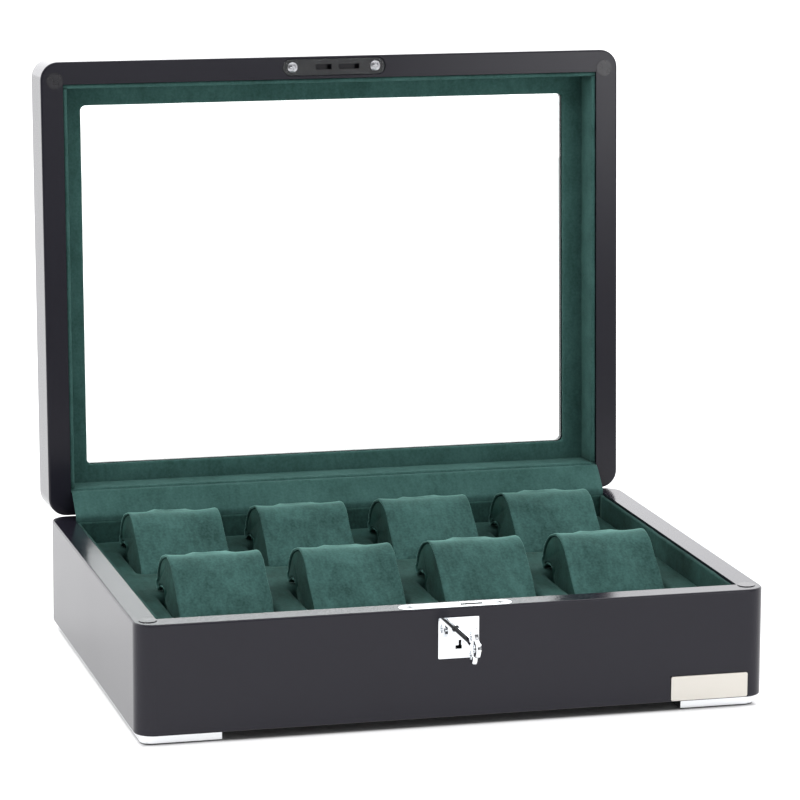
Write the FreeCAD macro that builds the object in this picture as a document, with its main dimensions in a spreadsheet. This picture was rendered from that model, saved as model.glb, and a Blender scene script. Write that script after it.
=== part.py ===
import FreeCAD, Part
import os
import re
import Sketcher

# Watch box for eight watches: lacquered case with a glazed lid, velvet inside.
# Millimetres. +X right, front towards -Y, +Z up, floor at z = 0 under the case's middle.

sizes = {
    # case and lid
    "box_width": 335,
    "box_depth": 255,
    "wall": 12.5,
    "corner_round": 10,
    "edge_round": 1,
    "base_height": 58,
    "lid_height": 31,
    "rim_gap": 0.8,
    "lid_open": 92.75,
    "fit_gap": 0.1,
    "bottom_thick": 5,
    "bottom_ledge": 6,
    # foot rails
    "foot_height": 5.5,
    "foot_width": 41.6,
    "foot_side": 3.2,
    "foot_inset": 5,
    "foot_round": 6,
    "foot_edge": 0.6,
    # velvet boards
    "liner_thick": 2.5,
    "liner_drop": 1,
    "liner_round": 0.8,
    # glazed top
    "flange_thick": 3.5,
    "window_border": 26,
    "window_back": 25,
    "window_round": 3,
    "glass_thick": 2.5,
    "glass_gap": 0.3,
    "retainer_thick": 3.5,
    "retainer_round": 1.2,
    # tray and its wells
    "deck_drop": 12.5,
    "tray_gap": 0.2,
    "well_gap": 1,
    "well_heel_gap": 3,
    "well_floor_gap": 0.6,
    "well_round": 4,
    "well_lip": 4,
    # cushions: u runs back from the crest, w rises from the deck
    "cushion_width": 51.5,
    "column_trim": 19,
    "front_row": 98.5,
    "rear_row": 51.5,
    "crest_u": -1.2,
    "crest_rise": 24.6,
    "brow_u": -14.5,
    "brow_w": 20,
    "toe_u": -36.5,
    "toe_w": 0.4,
    "knee_u": -39.1,
    "knee_drop": 3.1,
    "nose_u": -40,
    "nose_drop": 7.4,
    "sink": 15,
    "sole_round": 4,
    "heel_u": 8.5,
    "heel_drop": 2,
    "under_u": 14,
    "under_w": 2.2,
    "tail_low_u": 21,
    "tail_low_w": 2.8,
    "tail_u": 25.9,
    "tail_w": 7.2,
    "tail_top_u": 24.7,
    "tail_top_w": 11.4,
    "shoulder_u": 17.6,
    "shoulder_w": 17.4,
    "back_u": 7,
    "back_w": 22.9,
    "cushion_draw": 0.035,
    "welt_width": 1.5,
    "cap_sink": 1,
    "cap_scale": 0.93,
    # hinges
    "hinge_margin": 72.5,
    "hinge_length": 38,
    "leaf_thick": 1,
    "leaf_depth": 10,
    "barrel_radius": 2.2,
    "barrel_room": 0.3,
    "knuckle_count": 3,
    "knuckle_gap": 0.15,
    "pin_radius": 1,
    "pin_out": -0.3,
    "running_gap": 0.05,
    "hinge_screw_place": 12,
    "hinge_screw_inset": 5.5,
    "hinge_screw_head": 2.1,
    "hinge_screw_shank": 1.1,
    "hinge_screw_length": 8,
    # velvet flap over the hinges
    "flap_thick": 0.8,
    "flap_clear": 0.1,
    "flap_rise": 2.2,
    # lock plates on the two front rims
    "plate_length": 60,
    "plate_width": 10,
    "plate_thick": 1.5,
    "plate_inset": 6,
    "plate_bevel": 0.5,
    "strike_sink": 0.5,
    "slit_left": 2.7,
    "slit_right": 14.7,
    "slit_width": 3,
    "catch_left": -10.6,
    "catch_right": -1.4,
    "plate_screw_place": 24,
    "plate_screw_head": 2.85,
    "plate_screw_shank": 1.4,
    "plate_screw_length": 11,
    "dome_rise": 0.8,
    "cross_length": 3,
    "cross_width": 0.7,
    "cross_depth": 0.5,
    "strike_room": 3.7,
    # lock works, depths counted back from the front face
    "case_left": -18,
    "case_right": 22,
    "case_front": 1.5,
    "case_back": 8,
    "case_wall": 0.8,
    "case_height": 24,
    "key_drop": 13,
    "hub_radius": 4.4,
    "hub_front": 1.6,
    "hub_back": 5,
    "hub_slot": 2.4,
    "hook_x": 0.5,
    "hook_drop": 6.5,
    "hook_radius": 11,
    "hook_half": 1.2,
    "hook_boss": 3.2,
    "hook_post": 1.5,
    "hook_front": 5.2,
    "hook_back": 6.8,
    "hook_tail": -63,
    "hook_arm": -45,
    "hook_tip": 22,
    "post_front": 5.1,
    # keyhole and its plate
    "hole_radius": 3.2,
    "hole_slot": 4,
    "hole_drop": 9,
    "scutcheon_side": 21.6,
    "scutcheon_thick": 1.2,
    "scutcheon_round": 0.6,
    "scutcheon_top": 4.9,
    "scutcheon_hole": 2.6,
    "scutcheon_slot": 3.4,
    "scutcheon_drop": 8.6,
    # key
    "key_radius": 2,
    "bit_width": 2.2,
    "bit_reach": 8,
    "bit_front": 2.4,
    "bit_back": 4.9,
    "collar_radius": 3.2,
    "collar_out": 1.4,
    "collar_length": 2.5,
    "bow_out": 29,
    "bow_thick": 2.8,
    "bow_bevel": 0.6,
    "bow_core": 3.6,
    "loop_radius": 4.7,
    "loop_hole": 2.3,
    "loop_side": 5,
    "loop_end": 6,
    # pads and nameplate
    "pad_radius": 4.6,
    "pad_thick": 0.35,
    "pad_side": 7.9,
    "pad_front": 10.4,
    "name_width": 42,
    "name_height": 13,
    "name_thick": 1,
    "name_round": 1,
    "name_side": 10.1,
    "name_lift": 0.9,
}

derived = {
    "half_width": "box_width / 2",
    "half_depth": "box_depth / 2",
    "rim_z": "foot_height + base_height",
    "lid_z": "rim_z + rim_gap",
    "bottom_z": "foot_height + bottom_thick",
    "deck_z": "rim_z - deck_drop",
    "inner_x": "half_width - wall",
    "inner_y": "half_depth - wall",
    "room_x": "inner_x - liner_thick",
    "room_y": "inner_y - liner_thick",
    "pin_y": "half_depth + pin_out",
    "pin_z": "rim_z + rim_gap / 2",
    "flange_z": "lid_z + lid_height - flange_thick",
    "glass_z": "flange_z - glass_thick",
    "retainer_z": "glass_z - retainer_thick",
    "window_x": "half_width - window_border",
    "window_y": "half_depth - (window_border + window_back) / 2",
    "window_mid": "(window_border - window_back) / 2",
    "leaf_front": "half_depth - leaf_depth",
    "plate_y": "plate_inset - half_depth",
    "strike_z": "lid_z + strike_sink",
    "key_z": "rim_z - key_drop",
    "hook_z": "rim_z - hook_drop",
    "case_top": "rim_z - plate_thick",
    "cushion_pitch": "(2 * room_x - column_trim) / 4",
    "hinge_place": "half_width - hinge_margin",
    "pad_x": "half_width - pad_side",
    "name_x": "half_width - name_side - name_width / 2",
}

doc = FreeCAD.newDocument("watch_box")
sheet = doc.addObject("Spreadsheet::Sheet", "dims")
formulas = {name: "=" + text for name, text in derived.items()}
for row, (name, text) in enumerate({**sizes, **formulas}.items(), 1):
    sheet.set(f"A{row}", name)
    sheet.set(f"B{row}", str(text))
    sheet.setAlias(f"B{row}", name)
doc.recompute()

nodes = []


def bind(text):
    """Sheet expression for a size written with plain names."""
    known = set(sizes) | set(derived)
    return re.sub(r"[a-z]\w*", lambda word: "dims." + word[0] if word[0] in known else word[0], text)


def measure(text):
    """Number that a size text stands for now."""
    return float(sheet.evalExpression(bind(text)))


def node(piece, label):
    """Names a finished piece, which is written to its own file."""
    piece.Label = label
    nodes.append(piece)
    return piece


def lid_node(piece, label):
    """Finished piece of the lid: drawn closed, then swung open about the hinge pins."""
    piece.Placement.Rotation = FreeCAD.Rotation(FreeCAD.Vector(-1, 0, 0), sizes["lid_open"])
    piece.setExpression("Placement.Rotation.Angle", bind("lid_open"))
    piece.setExpression("Placement.Base.y", bind("pin_y - cos(lid_open) * pin_y - sin(lid_open) * pin_z"))
    piece.setExpression("Placement.Base.z", bind("pin_z + sin(lid_open) * pin_y - cos(lid_open) * pin_z"))
    return node(piece, label)


# Solids from plain shapes


def brick(name, x, y, z):
    """Block between low and high bounds on each axis."""
    solid = doc.addObject("Part::Box", name)
    for side, axis, (low, high) in zip(("Length", "Width", "Height"), "xyz", (x, y, z)):
        solid.setExpression(side, bind(f"({high}) - ({low})"))
        solid.setExpression(f"Placement.Base.{axis}", bind(low))
    return solid


TURNS = {
    "x": FreeCAD.Rotation(FreeCAD.Vector(0, 1, 0), 90),
    "y": FreeCAD.Rotation(FreeCAD.Vector(-1, 0, 0), 90),
    "z": FreeCAD.Rotation(),
}


def place(solid, spot, axis):
    """Stands a round solid on a spot, pointing along an axis."""
    solid.Placement.Rotation = TURNS[axis]
    for letter, text in zip("xyz", spot):
        solid.setExpression(f"Placement.Base.{letter}", bind(text))
    return solid


def rod(name, radius, length, spot, axis="z"):
    """Round bar that starts at a spot and runs along an axis."""
    solid = doc.addObject("Part::Cylinder", name)
    solid.setExpression("Radius", bind(radius))
    solid.setExpression("Height", bind(length))
    return place(solid, spot, axis)


def cone(name, low_radius, high_radius, length, spot, axis="z"):
    """Cone between two radii that starts at a spot and runs along an axis."""
    solid = doc.addObject("Part::Cone", name)
    solid.setExpression("Radius1", bind(low_radius))
    solid.setExpression("Radius2", bind(high_radius))
    solid.setExpression("Height", bind(length))
    return place(solid, spot, axis)


def ball(name, radius, spot):
    """Ball about a spot."""
    solid = doc.addObject("Part::Sphere", name)
    solid.setExpression("Radius", bind(radius))
    return place(solid, spot, "z")


def fuse(name, *pieces):
    """One solid from pieces that run into each other."""
    joined = doc.addObject("Part::MultiFuse", name)
    joined.Shapes = list(pieces)
    joined.Refine = True
    return joined


def cut(name, piece, *tools):
    """A piece with tools taken out of it."""
    rest = doc.addObject("Part::Cut", name)
    rest.Base = piece
    rest.Tool = tools[0] if len(tools) == 1 else fuse(name + "_tools", *tools)
    return rest


def group(name, pieces):
    """Separate solids kept together as one node."""
    together = doc.addObject("Part::Compound", name)
    together.Links = pieces
    return together


# Bodies from sketches


def new_body(name):
    """Empty body for one piece."""
    return doc.addObject("PartDesign::Body", name)


def new_sketch(body, plane, lift):
    """Sketch on a body's own plane, moved along that plane's normal."""
    sketch = body.newObject("Sketcher::SketchObject", f"{body.Name}_sketch")
    origin = [face for face in body.Origin.OriginFeatures if face.Role == plane + "_Plane"]
    sketch.AttachmentSupport = [(origin[0], "")]
    sketch.MapMode = "FlatFace"
    sketch.setExpression("AttachmentOffset.Base.z", bind(lift))
    return sketch


def pin_point(sketch, piece, end, spot):
    """Ties one end of a line or arc to a spot in the sketch."""
    for way, text in zip(("DistanceX", "DistanceY"), spot):
        tie = sketch.addConstraint(Sketcher.Constraint(way, -1, 1, piece, end, measure(text)))
        sketch.setExpression(f"Constraints[{tie}]", bind(text))


def outline(sketch, corners):
    """Closed outline. A corner of two sizes ends a line, one of four ends an arc through the last two."""
    spots = [[measure(text) for text in corner] for corner in corners]
    ends = []
    for before, spot in zip([spots[-1]] + spots[:-1], spots):
        start = FreeCAD.Vector(before[0], before[1])
        stop = FreeCAD.Vector(spot[0], spot[1])
        if len(spot) == 2:
            ends.append((sketch.addGeometry(Part.LineSegment(start, stop)), 1, 2))
            continue
        middle = FreeCAD.Vector(spot[2], spot[3])
        piece = sketch.addGeometry(Part.Arc(start, middle, stop))
        turns_left = (middle - start).cross(stop - middle).z > 0
        ends.append((piece, 1, 2) if turns_left else (piece, 2, 1))
    for (piece, first, last), (following, head, tail) in zip(ends, ends[1:] + ends[:1]):
        sketch.addConstraint(Sketcher.Constraint("Coincident", piece, last, following, head))
    for (piece, first, last), corner in zip(ends, corners):
        pin_point(sketch, piece, last, corner[:2])
        if len(corner) == 4:
            middle = FreeCAD.Vector(measure(corner[2]), measure(corner[3]))
            mark = sketch.addGeometry(Part.Point(middle), True)
            pin_point(sketch, mark, 1, corner[2:])
            sketch.addConstraint(Sketcher.Constraint("PointOnObject", mark, 1, piece))


def circle(sketch, x, y, radius):
    """Circle about a spot in the sketch."""
    centre = FreeCAD.Vector(measure(x), measure(y))
    piece = sketch.addGeometry(Part.Circle(centre, FreeCAD.Vector(0, 0, 1), measure(radius)))
    pin_point(sketch, piece, 3, (x, y))
    tie = sketch.addConstraint(Sketcher.Constraint("Radius", piece, measure(radius)))
    sketch.setExpression(f"Constraints[{tie}]", bind(radius))


def square(x, y, half_x, half_y):
    """Corners of a rectangle about a middle."""
    signs = ((-1, -1), (1, -1), (1, 1), (-1, 1))
    return [(f"{x} + {a} * ({half_x})", f"{y} + {b} * ({half_y})") for a, b in signs]


def rounded(x, y, half_x, half_y, radius):
    """Corners of a rectangle about a middle, with round corners."""
    corners = []
    for a, b in ((-1, -1), (1, -1), (1, 1), (-1, 1)):
        straight_x = f"{x} + {a} * ({half_x})"
        straight_y = f"{y} + {b} * ({half_y})"
        start = (f"{straight_x} - {a} * ({radius})", straight_y)
        stop = (straight_x, f"{straight_y} - {b} * ({radius})")
        inset = f"({radius}) * (1 - cos(45))"
        via = (f"{straight_x} - {a} * {inset}", f"{straight_y} - {b} * {inset}")
        corners += [stop, start + via] if a * b > 0 else [start, stop + via]
    return corners


def stadium(x, y, half_length, half_width):
    """Corners of a plate with half-round ends."""
    right = f"{x} + ({half_length}) - ({half_width})"
    left = f"{x} - ({half_length}) + ({half_width})"
    low = f"{y} - ({half_width})"
    high = f"{y} + ({half_width})"
    return [
        (left, low, f"{x} - ({half_length})", y),
        (right, low),
        (right, high, f"{x} + ({half_length})", y),
        (left, high),
    ]


def keyhole(radius, slot, drop):
    """Corners of a keyhole about the key's axis: a round with a slot below."""
    join = f"key_z - sqrt({radius} * {radius} - {slot} * {slot} / 4)"
    return [
        (f"-{slot} / 2", join, "0", f"key_z + {radius}"),
        (f"-{slot} / 2", f"key_z - {drop}"),
        (f"{slot} / 2", f"key_z - {drop}"),
        (f"{slot} / 2", join),
    ]


def pad(body, sketch, length):
    """Solid drawn out from a sketch along its normal."""
    feature = body.newObject("PartDesign::Pad", f"{body.Name}_pad")
    feature.Profile = sketch
    feature.setExpression("Length", bind(length))
    doc.recompute()
    return feature


def pocket(body, sketch, depth, upward=False):
    """Hollow sunk from a sketch against its normal, or along it."""
    feature = body.newObject("PartDesign::Pocket", f"{body.Name}_pocket")
    feature.Profile = sketch
    feature.Reversed = upward
    feature.setExpression("Length", bind(depth))
    doc.recompute()
    return feature


def soften(body, feature, radius, chosen):
    """Rounds the chosen edges of a body's last feature."""
    names = [f"Edge{i}" for i, edge in enumerate(feature.Shape.Edges, 1) if chosen(edge)]
    fillet = body.newObject("PartDesign::Fillet", f"{body.Name}_fillet")
    fillet.Base = (feature, names)
    fillet.setExpression("Radius", bind(radius))
    doc.recompute()
    return fillet


def level_at(edge, height):
    """True where an edge lies flat at a height."""
    box = edge.BoundBox
    near = measure("running_gap")
    return abs(box.ZMin - measure(height)) < near and abs(box.ZMax - measure(height)) < near


def within(edge, half_width):
    """True where an edge lies between two upright planes about the middle."""
    return edge.BoundBox.XMax < measure(half_width) and edge.BoundBox.XMin > -measure(half_width)


def plate_pad(name, corners, low, high):
    """Flat piece of one outline between two heights."""
    body = new_body(name)
    sketch = new_sketch(body, "XY", low)
    outline(sketch, corners)
    return body, pad(body, sketch, f"({high}) - ({low})")


# Case


def shell(name, low, high):
    """Solid block of the case or lid, with round corners and softened edges."""
    body, block = plate_pad(name, rounded("0", "0", "half_width", "half_depth", "corner_round"), low, high)
    soften(body, block, "edge_round", lambda edge: level_at(edge, low) or level_at(edge, high))
    return body


def sink(body, lift, shapes, depth, upward=False):
    """Hollow with the given outlines, sunk from a height."""
    sketch = new_sketch(body, "XY", lift)
    for corners in shapes:
        outline(sketch, corners)
    pocket(body, sketch, depth, upward)


def drill(body, lift, spots, radius, depth, upward=False):
    """Round holes sunk from a height."""
    sketch = new_sketch(body, "XY", lift)
    for x, y in spots:
        circle(sketch, x, y, radius)
    pocket(body, sketch, depth, upward)


hinge_middles = ("-hinge_place", "hinge_place")
hinge_screw_line = "half_depth - hinge_screw_inset"
hinge_screw_spots = [
    (f"{middle} + {side} * hinge_screw_place", hinge_screw_line)
    for middle in hinge_middles
    for side in (-1, 1)
]
plate_screw_spots = [("-plate_screw_place", "plate_y"), ("plate_screw_place", "plate_y")]


def hinge_seats(body, rim, upward):
    """Seats for two hinges in a back rim: leaf, barrel and screw holes."""
    half = "hinge_length / 2 + fit_gap"
    leaf_middle = "half_depth - leaf_depth / 2 + edge_round / 2"
    leaf_half = "leaf_depth / 2 + edge_round / 2 + fit_gap"
    seats = [square(middle, leaf_middle, half, leaf_half) for middle in hinge_middles]
    sink(body, rim, seats, "leaf_thick", upward)
    for middle in hinge_middles:
        sketch = new_sketch(body, "YZ", f"{middle} + {half}")
        circle(sketch, "pin_y", "pin_z", "barrel_radius + barrel_room")
        pocket(body, sketch, f"2 * ({half})")
    depth = "leaf_thick + hinge_screw_length + fit_gap"
    drill(body, rim, hinge_screw_spots, "hinge_screw_shank + running_gap", depth, upward)


def make_carcass():
    """Four lacquered walls with a ledge for the bottom and seats for lock and hinges."""
    body = shell("base_carcass_body", "foot_height", "rim_z")
    sink(body, "rim_z", [square("0", "0", "inner_x", "inner_y")], "base_height")
    ledge = square("0", "0", "inner_x + bottom_ledge", "inner_y + bottom_ledge")
    sink(body, "foot_height", [ledge], "bottom_thick", True)
    seat = stadium("0", "plate_y", "plate_length / 2 + fit_gap", "plate_width / 2 + fit_gap")
    sink(body, "rim_z", [seat], "plate_thick")
    middle_x = "(case_left + case_right) / 2"
    middle_y = "(case_front + case_back) / 2 - half_depth"
    half_x = "(case_right - case_left) / 2 + fit_gap"
    half_y = "(case_back - case_front) / 2 + fit_gap"
    sink(body, "rim_z", [square(middle_x, middle_y, half_x, half_y)], "plate_thick + case_height + fit_gap")
    hole = new_sketch(body, "XZ", "half_depth")
    outline(hole, keyhole("hole_radius", "hole_slot", "hole_drop"))
    pocket(body, hole, "case_front")
    depth = "plate_thick + plate_screw_length + fit_gap"
    drill(body, "rim_z", plate_screw_spots, "plate_screw_shank + running_gap", depth)
    hinge_seats(body, "rim_z", False)
    node(body, "base_carcass")


def make_bottom():
    """Board let into the ledge under the walls."""
    half_x = "inner_x + bottom_ledge - fit_gap"
    half_y = "inner_y + bottom_ledge - fit_gap"
    body, panel = plate_pad("bottom_body", square("0", "0", half_x, half_y), "foot_height", "bottom_z")
    node(body, "bottom_panel")


def make_feet():
    """Bright metal runner under each side, its two outer corners round like the case's."""
    ends = "half_depth - foot_inset"
    turn = "foot_round * (1 - cos(45))"
    for side, sign in (("left", "-1"), ("right", "1")):
        outer = f"{sign} * (half_width - foot_side)"
        inner = f"{outer} - {sign} * foot_width"
        straight = f"{outer} - {sign} * foot_round"
        turned = f"{outer} - {sign} * {turn}"
        corners = [
            (straight, f"-({ends})"),
            (outer, f"foot_round - ({ends})", turned, f"{turn} - ({ends})"),
            (outer, f"{ends} - foot_round"),
            (straight, ends, turned, f"{ends} - {turn}"),
            (inner, ends),
            (inner, f"-({ends})"),
        ]
        body, runner = plate_pad(f"foot_{side}_body", corners, "0", "foot_height")
        soften(body, runner, "foot_edge", lambda edge: level_at(edge, "0"))
        node(body, f"foot_{side}")


# Velvet boards


def liner(name, along, low, high, bare_end):
    """Board on one inner wall, its free long edge softened. The wall is named by side and direction."""
    axis, side = along
    half_length = "inner_x - fit_gap" if axis == "X" else "room_y - fit_gap"
    outer, inner = ("inner_y", "room_y") if axis == "X" else ("inner_x", "room_x")
    body = new_body(name + "_body")
    sketch = new_sketch(body, "YZ" if axis == "X" else "XZ", f"-({half_length})")
    turn = "liner_round * (1 - cos(45))"
    free, fixed, way = (high, low, -1) if bare_end == "high" else (low, high, 1)
    outer_u = f"{side} * {outer}"
    inner_u = f"{side} * {inner}"
    short = f"{free} + {way} * liner_round"
    turned = f"{free} + {way} * {turn}"
    outline(sketch, [
        (outer_u, fixed),
        (outer_u, short),
        (f"{outer_u} - {side} * liner_round", free, f"{outer_u} - {side} * {turn}", turned),
        (f"{inner_u} + {side} * liner_round", free),
        (inner_u, short, f"{inner_u} + {side} * {turn}", turned),
        (inner_u, fixed),
    ])
    pad(body, sketch, f"2 * ({half_length})")
    return body


walls = {"front": ("X", -1), "back": ("X", 1), "left": ("Y", -1), "right": ("Y", 1)}


def make_liners():
    """Velvet boards on the inner walls of case and lid."""
    for wall_name, along in walls.items():
        base = liner(f"base_{wall_name}", along, "bottom_z", "rim_z - liner_drop", "high")
        node(base, f"base_liner_{wall_name}")
        lid = liner(f"lid_{wall_name}", along, "lid_z + liner_drop", "retainer_z", "low")
        lid_node(lid, f"lid_liner_{wall_name}")


# Tray and cushions

columns = [f"{place} * cushion_pitch" for place in (-1.5, -0.5, 0.5, 1.5)]
rows = {"front": "front_row - half_depth", "rear": "half_depth - rear_row"}


def make_tray():
    """Velvet-covered insert with a well for every cushion."""
    half_x = "room_x - tray_gap"
    half_y = "room_y - tray_gap"
    body, block = plate_pad("cushion_tray_body", square("0", "0", half_x, half_y), "bottom_z", "deck_z")
    wells = []
    half_u = "(heel_u + well_heel_gap - nose_u + well_gap) / 2"
    for crest in rows.values():
        middle_y = f"{crest} + (heel_u + well_heel_gap + nose_u - well_gap) / 2"
        wells += [rounded(x, middle_y, "cushion_width / 2 + well_gap", half_u, "well_round") for x in columns]
    sink(body, "deck_z", wells, "sink + well_floor_gap")
    soften(
        body,
        body.Tip,
        "well_lip",
        lambda edge: level_at(edge, "deck_z") and within(edge, "room_x - well_round"),
    )
    node(body, "cushion_tray")


def cushion_profile(crest, scale):
    """Side outline of a cushion: sloped front, round crest, tail that overhangs the deck."""
    round_in = "sole_round * (1 - cos(45))"
    steps = [
        ("brow_u", "brow_w", "crest_u", "crest_rise"),
        ("toe_u", "toe_w"),
        ("nose_u", "-nose_drop", "knee_u", "-knee_drop"),
        ("nose_u", "sole_round - sink"),
        ("nose_u + sole_round", "-sink", f"nose_u + {round_in}", f"{round_in} - sink"),
        ("heel_u - sole_round", "-sink"),
        ("heel_u", "sole_round - sink", f"heel_u - {round_in}", f"{round_in} - sink"),
        ("heel_u", "-heel_drop"),
        ("under_u", "under_w", "(2 * heel_u + under_u) / 3", "(2 * under_w - heel_drop) / 3"),
        ("tail_low_u", "tail_low_w"),
        ("tail_top_u", "tail_top_w", "tail_u", "tail_w"),
        ("back_u", "back_w", "shoulder_u", "shoulder_w"),
    ]
    scaled = []
    for step in steps:
        across = [f"{crest} + brow_u + ({u} - brow_u) * ({scale})" for u in step[0::2]]
        upward = [f"deck_z + ({w}) * ({scale})" for w in step[1::2]]
        scaled.append(tuple(text for pair in zip(across, upward) for text in pair))
    return scaled


def make_cushion(label, x, crest):
    """Watch pillow: a wrap drawn in at its two edges, with end caps set in from it."""
    body = new_body(label + "_body")
    edge = "cushion_width / 2"
    ends = "1 - cushion_draw"
    stations = [
        (f"{x} - {edge}", ends),
        (f"{x} - {edge} + welt_width", "1"),
        (f"{x} + {edge} - welt_width", "1"),
        (f"{x} + {edge}", ends),
    ]
    sections = []
    for lift, scale in stations:
        sections.append(new_sketch(body, "YZ", lift))
        outline(sections[-1], cushion_profile(crest, scale))
    loft = body.newObject("PartDesign::AdditiveLoft", label + "_loft")
    loft.Profile = sections[0]
    loft.Sections = sections[1:]
    loft.Ruled = True
    doc.recompute()
    for lift, upward in ((f"{x} - {edge}", True), (f"{x} + {edge}", False)):
        cap = new_sketch(body, "YZ", lift)
        outline(cap, cushion_profile(crest, "(1 - cushion_draw) * cap_scale"))
        pocket(body, cap, "cap_sink", upward)
    node(body, label)


def make_cushions():
    """Two rows of four pillows."""
    for row_name, crest in rows.items():
        for place, x in enumerate(columns, 1):
            make_cushion(f"cushion_{row_name}_{place}", x, crest)


# Lid


def make_lid_frame():
    """Lacquered lid rim with a border round the window and seats for strike plate and hinges."""
    body = shell("lid_frame_body", "lid_z", "lid_z + lid_height")
    sink(body, "lid_z", [square("0", "0", "inner_x", "inner_y")], "lid_height - flange_thick", True)
    window = rounded("0", "window_mid", "window_x", "window_y", "window_round")
    sink(body, "lid_z", [window], "lid_height", True)
    seat = stadium("0", "plate_y", "plate_length / 2 + fit_gap", "plate_width / 2 + fit_gap")
    sink(body, "lid_z", [seat], "strike_sink + plate_thick", True)
    room = slot_corners("catch_left", "slit_right")
    sink(body, "lid_z", [room], "strike_sink + plate_thick + strike_room", True)
    depth = "strike_sink + plate_thick + plate_screw_length + fit_gap"
    drill(body, "lid_z", plate_screw_spots, "plate_screw_shank + running_gap", depth, True)
    hinge_seats(body, "lid_z", True)
    lid_node(body, "lid_frame")


def make_glazing():
    """Clear pane under the border and the velvet frame that holds it."""
    half_x = "inner_x - glass_gap"
    half_y = "inner_y - glass_gap"
    glass, pane = plate_pad("glass_body", square("0", "0", half_x, half_y), "glass_z", "flange_z")
    lid_node(glass, "glass_pane")
    body, block = plate_pad("retainer_body", square("0", "0", half_x, half_y), "retainer_z", "glass_z")
    window = rounded("0", "window_mid", "window_x", "window_y", "window_round")
    sink(body, "retainer_z", [window], "retainer_thick", True)
    soften(
        body,
        body.Tip,
        "retainer_round",
        lambda edge: level_at(edge, "retainer_z") and within(edge, "window_x + fit_gap"),
    )
    lid_node(body, "glass_retainer")


# Fasteners


def screw(name, spot, upward, radii, lengths, grow):
    """Sunk-head screw that starts at a face and points down, or up in the lid. Grown, it is its own hole."""
    x, y, face = spot
    wide, narrow = [f"{radius} + {grow}" for radius in radii]
    depth, length = lengths
    overlap = "running_gap"
    if upward:
        top = cone(name + "_head", wide, narrow, depth, (x, y, face))
        body = rod(name + "_shank", narrow, f"{length} + {overlap}", (x, y, f"{face} + {depth} - {overlap}"))
    else:
        top = cone(name + "_head", narrow, wide, depth, (x, y, f"{face} - {depth}"))
        body = rod(name + "_shank", narrow, f"{length} + {overlap}", (x, y, f"{face} - {depth} - {length}"))
    return fuse(name, top, body)


def crossed(name, piece, x, y, heights):
    """Screw with a cross for the driver sunk in its head."""
    long_x = (f"{x} - cross_length / 2", f"{x} + cross_length / 2")
    long_y = (f"{y} - cross_length / 2", f"{y} + cross_length / 2")
    thin_x = (f"{x} - cross_width / 2", f"{x} + cross_width / 2")
    thin_y = (f"{y} - cross_width / 2", f"{y} + cross_width / 2")
    across = brick(name + "_across", long_x, thin_y, heights)
    along = brick(name + "_along", thin_x, long_y, heights)
    return cut(name, piece, across, along)


def hinge_screw(name, x, y, face, upward, grow):
    """Small sunk-head screw of a hinge leaf."""
    radii = ("hinge_screw_head", "hinge_screw_shank")
    return screw(name, (x, y, face), upward, radii, ("leaf_thick", "hinge_screw_length"), grow)


def make_leaf(name, middle, owned, face, upward):
    """Hinge leaf: flat plate, its share of the knuckles, a bore for the pin and two sunk holes."""
    low, high = (face, f"{face} + leaf_thick") if upward else (f"{face} - leaf_thick", face)
    pitch = "hinge_length / knuckle_count"
    start = f"{middle} - hinge_length / 2"
    edge = "pin_y - barrel_radius - knuckle_gap"
    pieces = [brick(name + "_plate", (start, f"{start} + hinge_length"), ("leaf_front", edge), (low, high))]
    for place in owned:
        left = f"{start} + {place} * {pitch} + knuckle_gap / 2"
        length = f"{pitch} - knuckle_gap"
        pieces.append(rod(f"{name}_knuckle_{place}", "barrel_radius", length, (left, "pin_y", "pin_z"), "x"))
        bridge = (f"{edge} - leaf_thick", "pin_y")
        pieces.append(brick(f"{name}_bridge_{place}", (left, f"{left} + {length}"), bridge, (low, high)))
    tools = [rod(name + "_bore", "pin_radius + running_gap", "hinge_length", (start, "pin_y", "pin_z"), "x")]
    for side in (-1, 1):
        x = f"{middle} + {side} * hinge_screw_place"
        tools.append(hinge_screw(f"{name}_hole", x, hinge_screw_line, face, upward, "running_gap"))
    return cut(name + "_cut", fuse(name + "_blank", *pieces), *tools)


def make_hinges():
    """Two butt hinges with their pins and screws."""
    for side, middle in zip(("left", "right"), hinge_middles):
        node(make_leaf(f"{side}_base", middle, (0, 2), "rim_z", False), f"hinge_{side}_base_leaf")
        lid_node(make_leaf(f"{side}_lid", middle, (1,), "lid_z", True), f"hinge_{side}_lid_leaf")
        spot = (f"{middle} - hinge_length / 2", "pin_y", "pin_z")
        node(rod(f"{side}_pin", "pin_radius", "hinge_length", spot, "x"), f"hinge_{side}_pin")
    base = [hinge_screw("base_screw", x, y, "rim_z", False, "0") for x, y in hinge_screw_spots]
    node(group("base_screw_set", base), "hinge_screws_base")
    lid = [hinge_screw("lid_screw", x, y, "lid_z", True, "0") for x, y in hinge_screw_spots]
    lid_node(group("lid_screw_set", lid), "hinge_screws_lid")


def flap_spot(rise, inward):
    """Place on the flap, seen along the hinge: so high over the case's rim, so far in from its wall."""
    reach = f"(wall + pin_out + flap_clear + {inward})"
    up = f"({rise} - rim_gap / 2)"
    y = f"-{reach} * cos(lid_open / 2) - {up} * sin(lid_open / 2)"
    z = f"{up} * cos(lid_open / 2) - {reach} * sin(lid_open / 2)"
    return (y, z)


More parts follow.
